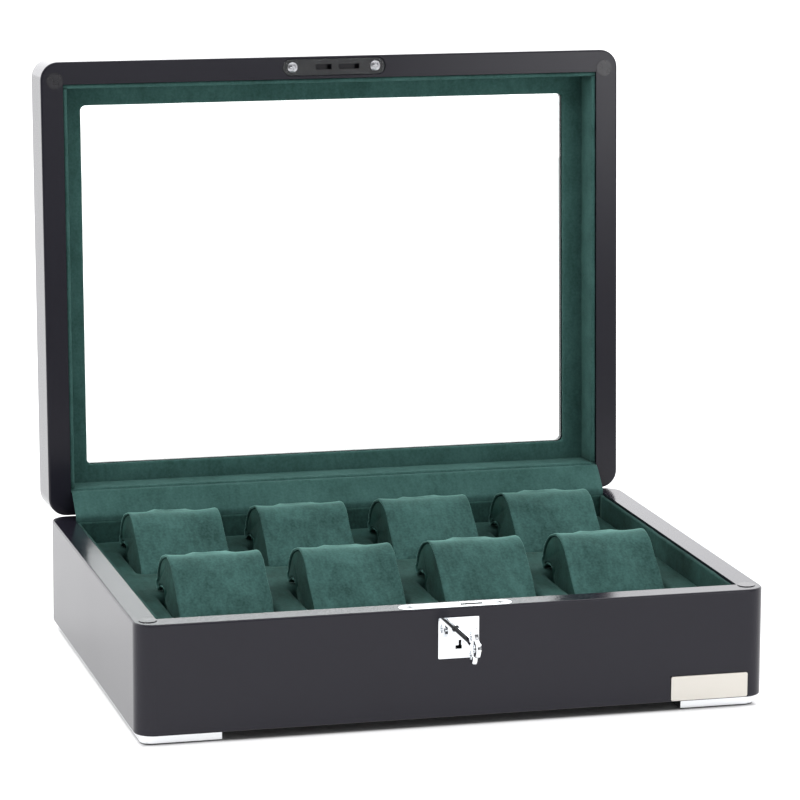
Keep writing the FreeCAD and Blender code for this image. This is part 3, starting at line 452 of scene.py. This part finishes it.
def skin(name, rings, loop=False, caps=True):
    """Mesh through rings of equally many points; a looped one joins its last ring to its first."""
    count = len(rings[0])
    points = [point for ring in rings for point in ring]
    faces = []
    for place in range(len(rings) if loop else len(rings) - 1):
        near = place * count
        far = (place + 1) % len(rings) * count
        for step in range(count):
            after = (step + 1) % count
            faces.append((near + step, near + after, far + after, far + step))
    if caps and not loop:
        faces.append(tuple(reversed(range(count))))
        faces.append(tuple(range(len(points) - count, len(points))))
    mesh = bpy.data.meshes.new(name)
    mesh.from_pydata(points, [], faces)
    mesh.validate()
    mesh.shade_smooth()
    piece = bpy.data.objects.new(name, mesh)
    bpy.context.scene.collection.objects.link(piece)
    return piece


def rounded_box(low, high, radius, steps=5):
    """Outline of a rectangle with round corners, as pairs, counter-clockwise."""
    outline = []
    corners = [(high[0], low[1], -90), (high[0], high[1], 0), (low[0], high[1], 90), (low[0], low[1], 180)]
    for x, y, start in corners:
        centre_x = x - radius if x == high[0] else x + radius
        centre_y = y - radius if y == high[1] else y + radius
        for step in range(steps + 1):
            angle = math.radians(start + 90 * step / steps)
            outline.append((centre_x + radius * math.cos(angle), centre_y + radius * math.sin(angle)))
    return outline


def unevenness(piece, depth_mm, size_mm, seed):
    """Moves each point along its normal by a smooth noise."""
    shift = Vector([seed * step for step in SEED_STEPS])
    mesh = piece.data
    moved = []
    for vertex in mesh.vertices:
        push = noise.noise(vertex.co * per_mm(size_mm) + shift) * depth_mm * MM
        moved.append(vertex.co + vertex.normal * push)
    for vertex, spot in zip(mesh.vertices, moved):
        vertex.co = spot


def cover(piece, body, material):
    """Finishes a piece: its cloth and the body it moves with."""
    piece.data.materials.append(material)
    if body:
        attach(piece, body)
    return piece


print("rounded outline of", len(rounded_box((0, 0), (1, 1), 0.2)), "points")

# %% [markdown]
# ## Open lid
#
# Pieces of the lid are drawn shut, where everything is square to the axes, and then swung open about
# the hinge pins by the same angle as the solids.

# %% Lid swing
PIN = Vector((0, 127.2, 63.9)) * MM
OPEN_DEGREES = 92.75
OPEN_TURN = Matrix.Rotation(math.radians(-OPEN_DEGREES), 4, "X")
LID_SWING = Matrix.Translation(PIN) @ OPEN_TURN @ Matrix.Translation(-PIN)
print("lid stands", round(OPEN_DEGREES - 90, 2), "degrees past upright")

# %% [markdown]
# ## Covered boards on the walls
#
# Thin boards wrapped in suede line the four walls of the case and of the lid. The wrap turns over the
# free edge in a small round, which is the light green line beside the black rim. Each board is a
# rounded section carried along its wall.

# %% Liners
RIM_Z = 63.5
LID_Z = 64.3
FLOOR_Z = 10.5
INNER_X = 155.0
INNER_Y = 115.0
LINER = 2.5
LINER_ROUND = 1.15
LINER_GLUE = 0.05
LINER_END_GAP = 0.15
LINER_DROP = 1.0
LID_LINER_TOP = 21.5
LINER_UNEVEN = 0.16
LINER_UNEVEN_SIZE = 14.0
LID_SEED = 10
STATION_MM = 5.0
WALLS = {"front": ("x", -1), "back": ("x", 1), "left": ("y", -1), "right": ("y", 1)}


def board(name, node_name, axis, side, low, high, body, seed):
    """One covered board, as a rounded section carried along X or Y."""
    outer = INNER_Y if axis == "x" else INNER_X
    half = INNER_X - LINER_END_GAP if axis == "x" else INNER_Y - LINER - LINER_END_GAP
    near, far = sorted((side * (outer - LINER_GLUE), side * (outer - LINER)))
    section = rounded_box((near, low), (far, high), LINER_ROUND)
    count = int(2 * half / STATION_MM)
    rings = []
    for place in range(count + 1):
        along = -half + 2 * half * place / count
        spots = [(along, across, up) if axis == "x" else (across, along, up) for across, up in section]
        rings.append([Vector(spot) * MM for spot in spots])
    piece = skin(name, rings if axis == "y" else rings[::-1])
    unevenness(piece, LINER_UNEVEN, LINER_UNEVEN_SIZE, seed)
    if body == "lid":
        piece.data.transform(LID_SWING)
    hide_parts(node_name)
    # Lid boards get the lighter painted tone, case boards the painted shade tone.
    cover(piece, body, suede_painted_lighter if body == "lid" else suede_painted_shade)


case_span = (FLOOR_Z, RIM_Z - LINER_DROP)
lid_span = (LID_Z + LINER_DROP, LID_Z + LID_LINER_TOP)
for seed, (wall, (axis, side)) in enumerate(WALLS.items()):
    board(f"case_lining_{wall}", f"base_liner_{wall}", axis, side, *case_span, "base", seed)
    board(f"lid_lining_{wall}", f"lid_liner_{wall}", axis, side, *lid_span, "lid", seed + LID_SEED)
print("eight covered boards,", LINER, "mm thick")

# %% [markdown]
# ## The tray and its wells
#
# The pillows stand in wells of a covered insert. Suede is pressed into each well, so the deck turns
# down into it over a soft lip. Cutting holes into a plate would leave long thin faces there. Instead
# the deck is eight cells, one round each well, and each cell is a skin from its square border
# inwards, over the lip and down the wall. Every ring has the same number of points on each side.

# %% Rings of a well
DECK_Z = 51.0
DECK_TURN = 2.4
TRAY_X = 152.2
TRAY_Y = 112.2
WELL_HALF_X = 26.75
WELL_ROUND = 4.0
WELL_LIP = 4.2
WELL_DEPTH = 15.6
SIDE_STEPS = 22
CORNER_STEPS = 4
DECK_SHARES = (0.0, 0.03, 0.08, 0.16, 0.35, 0.6, 0.85, 1.0)
LIP_DEGREES = (20, 40, 60, 80, 90)
WALL_DEPTHS = (6.0, 11.0, WELL_DEPTH)


def between(a, b, share):
    """Point part of the way from one point to another."""
    return (a[0] + (b[0] - a[0]) * share, a[1] + (b[1] - a[1]) * share)


def well_ring(x, y, half_x, half_y, radius, steps=SIDE_STEPS):
    """Round-cornered ring about a middle: each side runs from the middle of one corner to the next."""
    corners = rounded_box((x - half_x, y - half_y), (x + half_x, y + half_y), radius, 2 * CORNER_STEPS)
    arc = 2 * CORNER_STEPS + 1
    straight = steps - 2 * CORNER_STEPS
    ring = []
    for side in range(4):
        start = (side - 1) * arc + CORNER_STEPS
        ring += [corners[place] for place in range(start, start + CORNER_STEPS)]
        first = corners[start + CORNER_STEPS]
        last = corners[(start + CORNER_STEPS + 1) % len(corners)]
        ring += [between(first, last, place / straight) for place in range(straight)]
        ring += [corners[(side * arc + place) % len(corners)] for place in range(CORNER_STEPS)]
    return ring


def cell_ring(low, high):
    """Square ring with the same number of points on each side."""
    corners = [(low[0], low[1]), (high[0], low[1]), (high[0], high[1]), (low[0], high[1])]
    ring = []
    for first, last in zip(corners, corners[1:] + corners[:1]):
        ring += [between(first, last, step / SIDE_STEPS) for step in range(SIDE_STEPS)]
    return ring


def deck_height(x, y):
    """Deck level, turned down in a small round along the walls."""
    gap = min(TRAY_X - abs(x), TRAY_Y - abs(y))
    if gap >= DECK_TURN:
        return DECK_Z
    return DECK_Z - DECK_TURN + math.sqrt(max(0.0, DECK_TURN**2 - (DECK_TURN - gap) ** 2))


def well_cell(low, high, x, y, half_y):
    """Rings of one cell, from its border to the foot of its well's wall."""
    border = cell_ring(low, high)
    lip = well_ring(x, y, WELL_HALF_X + WELL_LIP, half_y + WELL_LIP, WELL_ROUND + WELL_LIP)
    rings = []
    for share in DECK_SHARES:
        spots = [between(outside, inside, share) for outside, inside in zip(border, lip)]
        rings.append([(*spot, deck_height(*spot)) for spot in spots])
    for angle in LIP_DEGREES:
        out = WELL_LIP * (1 - math.sin(math.radians(angle)))
        down = WELL_LIP * (1 - math.cos(math.radians(angle)))
        spots = well_ring(x, y, WELL_HALF_X + out, half_y + out, WELL_ROUND + out)
        rings.append([(*spot, DECK_Z - down) for spot in spots])
    for down in WALL_DEPTHS:
        rings.append([(*spot, DECK_Z - down) for spot in well_ring(x, y, WELL_HALF_X, half_y, WELL_ROUND)])
    return [[Vector(spot) * MM for spot in ring] for ring in rings]


ring_count = len(DECK_SHARES) + len(LIP_DEGREES) + len(WALL_DEPTHS)
print("a cell has", ring_count, "rings of", 4 * SIDE_STEPS, "points")

# %% [markdown]
# The cells are welded along their borders into one deck. Then the open wells get their floors, and
# the outer edge is drawn down to the bottom board as a skirt, which makes the insert a closed body.

# %% Tray
COLUMNS = (-107.25, -35.75, 35.75, 107.25)
CRESTS = {"front": -29.0, "rear": 76.0}
WELL_FRONT = -41.0
WELL_BACK = 11.5
SPLITS_X = (-TRAY_X, -71.5, 0.0, 71.5, TRAY_X)
SPLITS_Y = (-TRAY_Y, 7.0, TRAY_Y)
WELD_MM = 0.02
# An open edge this near a well's floor belongs to the well.
FLOOR_BAND = 1.0
SKIRT_GAP = 0.05
SHARP_DEGREES = 55
TRAY_UNEVEN = 0.3
TRAY_UNEVEN_SIZE = 24.0
TRAY_SEED = 31


def make_tray():
    """Covered insert: eight cells joined into one deck, with a skirt down to the bottom board."""
    half_y = (WELL_BACK - WELL_FRONT) / 2
    build = bmesh.new()
    for row, crest in enumerate(CRESTS.values()):
        middle = crest + (WELL_BACK + WELL_FRONT) / 2
        for column, x in enumerate(COLUMNS):
            low = (SPLITS_X[column], SPLITS_Y[row])
            high = (SPLITS_X[column + 1], SPLITS_Y[row + 1])
            cell = skin("cell", well_cell(low, high, x, middle, half_y), caps=False)
            build.from_mesh(cell.data)
            bpy.data.objects.remove(cell)
    bmesh.ops.remove_doubles(build, verts=build.verts, dist=WELD_MM * MM)
    loops = [edge for edge in build.edges if edge.is_boundary]
    wells = [edge for edge in loops if edge.verts[0].co.z < (DECK_Z - WELL_DEPTH + FLOOR_BAND) * MM]
    bmesh.ops.holes_fill(build, edges=wells, sides=0)
    rim = [edge for edge in build.edges if edge.is_boundary]
    skirt = bmesh.ops.extrude_edge_only(build, edges=rim)
    for vertex in [item for item in skirt["geom"] if isinstance(item, bmesh.types.BMVert)]:
        vertex.co.z = (FLOOR_Z + SKIRT_GAP) * MM
    bmesh.ops.holes_fill(build, edges=[edge for edge in build.edges if edge.is_boundary], sides=0)
    bmesh.ops.recalc_face_normals(build, faces=build.faces)
    mesh = bpy.data.meshes.new("cushion_insert")
    build.to_mesh(mesh)
    build.free()
    mesh.shade_smooth()
    mesh.set_sharp_from_angle(angle=math.radians(SHARP_DEGREES))
    tray = bpy.data.objects.new("cushion_insert", mesh)
    bpy.context.scene.collection.objects.link(tray)
    unevenness(tray, TRAY_UNEVEN, TRAY_UNEVEN_SIZE, TRAY_SEED)
    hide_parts("cushion_tray")
    # The insert gets the painted shade tone of the cloth.
    return cover(tray, "base", suede_painted_shade)


print("insert of", len(make_tray().data.polygons), "faces with eight wells")

# %% [markdown]
# ## Watch pillows
#
# A pillow is a wedge of foam: a long slope towards the lock, a round crest and a tail that hooks
# down behind. Under the tail is a hollow, so that a closed strap slips over it. One strip of suede
# goes round the wedge, and a flat end cap sits inside the strip's rolled edge at each side, behind a
# dark groove. The outline follows the solid's but for the hollow and the tail. Each ring across the
# width sets the outline in or out by a little: slightly full near the edge, rolled over at the edge,
# and set in at the cap.

# %% Pillow outline
# Millimetres behind the crest line and above the deck. Two numbers end a straight line, and four end
# an arc, with a point that it passes through.
OUTLINE = (
    (-14.5, 20.0, -1.2, 24.6),
    (-36.5, 0.4),
    (-40.0, -7.4, -39.1, -3.1),
    (-40.0, -11.0),
    (-36.0, -15.0, -38.83, -13.83),
    (0.0, -15.0),
    (4.0, -11.0, 2.83, -13.83),
    (4.0, 1.6),
    (7.2, 4.4, 4.9, 3.7),
    (19.4, 1.9, 13.6, 4.3),
    (22.2, 1.0, 20.6, 1.1),
    (25.2, 5.2, 24.6, 2.5),
    (7.0, 22.9, 18.8, 16.8),
)
OUTLINE_POINTS = 132
ARC_STEPS = 14


def side_share(outline, count):
    """Spots evenly spaced along an open run of points."""
    lengths = [math.dist(a, b) for a, b in zip(outline, outline[1:])]
    total = sum(lengths)
    spots = []
    for place in range(count):
        left = total * place / count
        step = 0
        while left > lengths[step]:
            left -= lengths[step]
            step += 1
        spots.append(between(outline[step], outline[step + 1], left / lengths[step]))
    return spots


def arc_spots(start, via, end, count):
    """Spots on the arc through three points, the start left out."""
    (ax, ay), (bx, by), (cx, cy) = start, via, end
    scale = 2 * (ax * (by - cy) + bx * (cy - ay) + cx * (ay - by))
    a, b, c = (x * x + y * y for x, y in (start, via, end))
    middle_x = (a * (by - cy) + b * (cy - ay) + c * (ay - by)) / scale
    middle_y = (a * (cx - bx) + b * (ax - cx) + c * (bx - ax)) / scale
    radius = math.dist((middle_x, middle_y), start)
    first, passing, last = (math.atan2(y - middle_y, x - middle_x) for x, y in (start, via, end))
    turn = (last - first) % math.tau
    if (passing - first) % math.tau > turn:
        turn -= math.tau
    angles = [first + turn * step / count for step in range(1, count + 1)]
    return [(middle_x + radius * math.cos(angle), middle_y + radius * math.sin(angle)) for angle in angles]


def pillow_outline():
    """Side outline of a pillow in even steps, counter-clockwise seen from the right."""
    run = [OUTLINE[-1][:2]]
    for corner in OUTLINE:
        if len(corner) == 2:
            run.append(corner)
        else:
            run += arc_spots(run[-1], corner[2:], corner[:2], ARC_STEPS)
    return side_share(run, OUTLINE_POINTS)


def set_in(outline, depth):
    """Outline moved inwards along its normals."""
    moved = []
    for place, (u, w) in enumerate(outline):
        (au, aw), (bu, bw) = outline[place - 1], outline[(place + 1) % len(outline)]
        length = math.dist((au, aw), (bu, bw))
        moved.append((u - (bw - aw) / length * depth, w + (bu - au) / length * depth))
    return moved


pillow_side = pillow_outline()
neighbours = zip(pillow_side, pillow_side[1:] + pillow_side[:1])
area = sum(a[0] * b[1] - b[0] * a[1] for a, b in neighbours) / 2
turning = "left" if area > 0 else "right"
print("pillow side", round(abs(area) / 100, 1), "square centimetres, turning", turning)

# %% [markdown]
# The rings run from one end cap to the other: the cap, the groove, the roll of the strip's edge, the
# strip, and the same again in mirror image. A ring is a place across the width and a depth by which
# the outline is set in. The caps, from the groove inwards, and the hollow under the tail get the
# darkest cloth: painted shade, where neighbours keep light off the caps and the tail shades the hollow.

# %% Pillow rings
STRIP_RINGS = ((0.0, 0.0), (4.5, 0.0), (9.0, 0.0), (13.5, 0.02), (17.5, -0.03))
EDGE_RINGS = (
    (20.5, -0.15),
    (22.4, -0.3),
    (23.8, -0.42),
    (24.7, -0.42),
    (25.2, -0.2),
    (25.42, 0.2),
    (25.35, 0.62),
    (24.9, 0.95),
)
CAP_RINGS = ((24.2, 1.15), (23.9, 1.4), (24.15, 1.7), (24.55, 1.95), (24.78, 2.2), (24.8, 2.45))
HALF_RINGS = STRIP_RINGS + EDGE_RINGS + CAP_RINGS
# The hollow lies between its heel and the lip of the tail, below its top.
HEEL_U = 3.9
LIP_U = 21.0
HOLLOW_TOP = 4.6


def pillow_rings():
    """Rings across a pillow, from its left cap through the strip to its right cap."""
    half = [(x, set_in(pillow_side, depth)) for x, depth in HALF_RINGS]
    left = [(-x, ring) for x, ring in half[:0:-1]]
    return [[Vector((x, u, w)) * MM for u, w in ring] for x, ring in left + half]


def dress_caps(piece, material):
    """Gives the end caps, from the groove inwards, and the hollow under the tail a painted-shade cloth."""
    piece.data.materials.append(material)
    bands = 2 * len(HALF_RINGS) - 2
    # The hollow's faces carry the painted shadow of the tail above them.
    hollow = {place for place, (u, w) in enumerate(pillow_side) if HEEL_U <= u < LIP_U and w < HOLLOW_TOP}
    for face in piece.data.polygons:
        band, place = divmod(face.index, OUTLINE_POINTS)
        strip = len(CAP_RINGS) <= band < bands - len(CAP_RINGS)
        face.material_index = int(not strip or place in hollow)


pattern = skin("pillow_pattern", pillow_rings())
print("pillow of", len(pattern.data.vertices), "points")

# %% [markdown]
# A moment of cloth simulation, with the filling pressing outwards, gives the strip its natural
# fullness. What sits in the well and the underside of the tail are held, and no point may move
# further than the limit, because foam keeps its shape.

# %% Fullness
FILL_PRESSURE = 4.0
CLOTH_MASS = 0.15
CLOTH_STRETCH = 25.0
CLOTH_BEND = 2.0
SETTLE_FRAMES = 20
FULLNESS_MM = 0.7
# Heights above the deck up to which the cloth is held, behind the heel and everywhere.
TAIL_HELD = 5.5
WELL_HELD = -3.0


def settle(piece, limit_mm):
    """Lets the filling press the cloth out for a moment, no point further than the limit."""
    mesh = piece.data
    rest = [vertex.co.copy() for vertex in mesh.vertices]
    held = piece.vertex_groups.new(name="held")
    for place, spot in enumerate(rest):
        under = spot.y > HEEL_U * MM and spot.z < TAIL_HELD * MM
        if under or spot.z < WELL_HELD * MM:
            held.add([place], 1.0, "REPLACE")
    cloth = piece.modifiers.new("filling", "CLOTH")
    cloth.settings.use_pressure = True
    cloth.settings.uniform_pressure_force = FILL_PRESSURE
    cloth.settings.mass = CLOTH_MASS
    cloth.settings.tension_stiffness = CLOTH_STRETCH
    cloth.settings.compression_stiffness = CLOTH_STRETCH
    cloth.settings.bending_stiffness = CLOTH_BEND
    cloth.settings.vertex_group_mass = "held"
    cloth.settings.effector_weights.gravity = 0.0
    for step in range(1, SETTLE_FRAMES + 1):
        bpy.context.scene.frame_set(step)
    graph = bpy.context.evaluated_depsgraph_get()
    swollen = [vertex.co.copy() for vertex in piece.evaluated_get(graph).data.vertices]
    piece.modifiers.remove(cloth)
    piece.vertex_groups.remove(held)
    bpy.context.scene.frame_set(1)
    furthest = 0.0
    for vertex, start, end in zip(mesh.vertices, rest, swollen):
        move = end - start
        furthest = max(furthest, move.length)
        vertex.co = start + move * min(1.0, limit_mm * MM / max(move.length, 1e-9))
    return furthest / MM


print("cloth moved up to", round(settle(pattern, FULLNESS_MM), 2), "mm before the limit")

# %% [markdown]
# Eight pillows come from that one pattern. No two are stuffed quite alike, so each gets its own
# slight unevenness before it is set in its well.

# %% Eight pillows
PILLOW_UNEVEN = 0.5
PILLOW_UNEVEN_SIZE = 19.0
PILLOW_SEED = 40


def make_pillow(row, column, x, crest, seed):
    """One pillow in its well."""
    name = f"cushion_{row}_{column}"
    piece = bpy.data.objects.new(f"pillow_{row}_{column}", pattern.data.copy())
    bpy.context.scene.collection.objects.link(piece)
    unevenness(piece, PILLOW_UNEVEN, PILLOW_UNEVEN_SIZE, seed)
    piece.data.transform(Matrix.Translation(Vector((x, crest, DECK_Z)) * MM))
    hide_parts(name)
    # The strip gets the lit tone; the caps and the hollow get the painted deep shade.
    cover(piece, name, suede_lit_pillows)
    dress_caps(piece, suede_painted_deep_shade)


for row_number, (row, crest) in enumerate(CRESTS.items()):
    for column, x in enumerate(COLUMNS, 1):
        make_pillow(row, column, x, crest, PILLOW_SEED + len(COLUMNS) * row_number + column)
bpy.data.objects.remove(pattern)
crest_rise = max(w for u, w in pillow_side)
print("eight pillows, crests", round(DECK_Z + crest_rise - RIM_Z, 1), "mm above the rim")

# %% [markdown]
# ## The frame that holds the glass
#
# Inside the lid a covered frame presses the pane against the border. It is one rounded section
# carried round the window, so its rings run round the window and the skin closes on itself.

# %% Glass frame
WINDOW_X = 141.5
WINDOW_Y = 102.0
WINDOW_MID = 0.5
WINDOW_ROUND = 3.0
FRAME_X = 154.7
FRAME_Y = 114.7
FRAME_WIDTH = FRAME_X - WINDOW_X
FRAME_LOW = 21.55
FRAME_HIGH = 25.0
FRAME_ROUND = 1.2
FRAME_STEPS = 60
FRAME_UNEVEN = 0.12
FRAME_UNEVEN_SIZE = 15.0
FRAME_SEED = 71


def make_glass_frame():
    """Covered frame round the window, in the open lid."""
    section = rounded_box((0.0, LID_Z + FRAME_LOW), (FRAME_WIDTH, LID_Z + FRAME_HIGH), FRAME_ROUND)
    rings = []
    for out, up in section:
        share = out / FRAME_WIDTH
        half_y = WINDOW_Y + (FRAME_Y - WINDOW_Y) * share
        middle = WINDOW_MID * (1 - share)
        ring = well_ring(0.0, middle, WINDOW_X + out, half_y, WINDOW_ROUND, FRAME_STEPS)
        rings.append([Vector((*spot, up)) * MM for spot in ring])
    piece = skin("glass_frame_covered", rings[::-1], loop=True)
    unevenness(piece, FRAME_UNEVEN, FRAME_UNEVEN_SIZE, FRAME_SEED)
    piece.data.transform(LID_SWING)
    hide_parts("glass_retainer")
    # The frame gets the lighter painted tone of the cloth.
    return cover(piece, "lid", suede_painted_lighter)


print("covered frame", round(FRAME_WIDTH, 1), "mm wide,", len(make_glass_frame().data.polygons), "faces")

# %% [markdown]
# ## The flap over the hinges
#
# A strip of suede runs from the case's back lining to the lid's. It hides the hinges, and drawn
# straight it stops the lid. It is drawn in axes turned by half the lid's angle, where its two halves
# mirror each other.

# %% Flap
FLAP_HALF_X = 154.7
FLAP_FOOT = -1.3
FLAP_RISE = 2.2
FLAP_WALL = 13.5
FLAP_BEND = 1.4
FLAP_BEND_SHARES = (0.0, 0.25, 0.5, 0.75, 1.0)
FLAP_THICK = 0.8
FLAP_STEPS = 28
FLAP_STATIONS = 80
FLAP_SAG = 0.35
FLAP_WAVE_X = 34.0
FLAP_WAVE_Z = 16.0
FLAP_SEED = 5.5
HALF_DEGREES = OPEN_DEGREES / 2
HALF_SWING = Matrix.Translation(PIN) @ Matrix.Rotation(math.radians(-HALF_DEGREES), 4, "X")


def flap_path():
    """Front of the flap in steps, seen along the hinge, from the case's lining to the lid's."""
    rim = RIM_Z - PIN.z / MM
    turn = Matrix.Rotation(math.radians(HALF_DEGREES), 2)
    heights = (FLAP_FOOT, FLAP_RISE - FLAP_BEND, FLAP_RISE)
    foot, start, corner = (turn @ Vector((-FLAP_WALL, rim + height)) for height in heights)
    knee = corner + Vector((0.0, FLAP_BEND))
    base_half = [tuple(foot)]
    for share in FLAP_BEND_SHARES:
        base_half.append(tuple(start.lerp(corner, share).lerp(corner.lerp(knee, share), share)))
    lid_half = [(y, -z) for y, z in reversed(base_half)]
    run = base_half + lid_half
    return side_share(run, FLAP_STEPS) + [run[-1]]


def make_flap(path):
    """Strip of suede from the case's back lining to the lid's."""
    rings = []
    for place in range(FLAP_STATIONS + 1):
        x = -FLAP_HALF_X + 2 * FLAP_HALF_X * place / FLAP_STATIONS
        front = []
        back = []
        for step, (y, z) in enumerate(path):
            ease = math.sin(math.pi * step / FLAP_STEPS)
            sag = FLAP_SAG * ease * noise.noise(Vector((x / FLAP_WAVE_X, z / FLAP_WAVE_Z, FLAP_SEED)))
            front.append((x, y - sag, z))
            back.append((x, y - sag + FLAP_THICK, z))
        rings.append([Vector(spot) * MM for spot in front + back[::-1]])
    piece = skin("hinge_flap_suede", rings)
    piece.data.transform(HALF_SWING)
    return piece


path = flap_path()
flap = make_flap(path)
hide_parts("hinge_flap")
# The flap gets the lighter painted tone of the cloth.
cover(flap, None, suede_painted_lighter)
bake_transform(flap)
